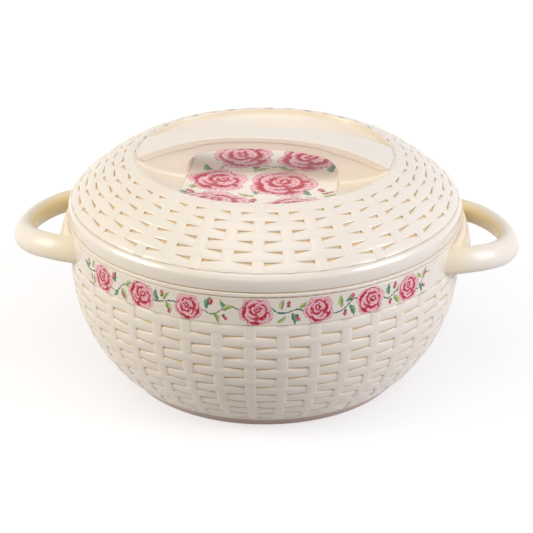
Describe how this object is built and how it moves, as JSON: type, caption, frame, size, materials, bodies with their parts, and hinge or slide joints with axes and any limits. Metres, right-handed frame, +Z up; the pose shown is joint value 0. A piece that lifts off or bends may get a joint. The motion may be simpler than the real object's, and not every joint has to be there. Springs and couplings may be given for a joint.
{
  "type": "insulated food casserole",
  "caption": "Round insulated casserole for flatbreads: woven-relief plastic bowl and dome, steel inner bowl, two loop handles and a lift-off lid with a bridge handle.",
  "frame": {"origin": "middle of the foot ring, on the table", "axes": "+Z up, -Y to the printed front, +X through the right handle"},
  "size_m": [0.3412, 0.2624, 0.1673],
  "materials": {
    "shell": "moulded plastic with a soft pearl gloss",
    "steel": "spun stainless steel, satin",
    "foam": "rigid foam, matt",
    "screw": "zinc-plated steel",
    "print": "printed film under gloss lacquer"
  },
  "bodies": {
    "bowl": {"outer_bowl": "shell", "rim_collar": "shell", "inner_bowl": "steel", "body_foam": "foam", "base_cover": "shell", "foam_plug": "shell", "handle_left": "shell", "handle_right": "shell", "handle_screws_left": "screw", "handle_screws_right": "screw", "band_label": "print"},
    "lid": {"lid_outer": "shell", "lid_dish": "shell", "dish_label": "print", "lid_handle": "shell", "lid_handle_screws": "screw", "lid_liner": "shell", "lid_foam": "foam"}
  },
  "joints": [
    {"name": "lid_lift", "type": "slide", "parent": "bowl", "child": "lid", "axis": [0, 0, 1], "range_m": [0, 0.08]}
  ]
}
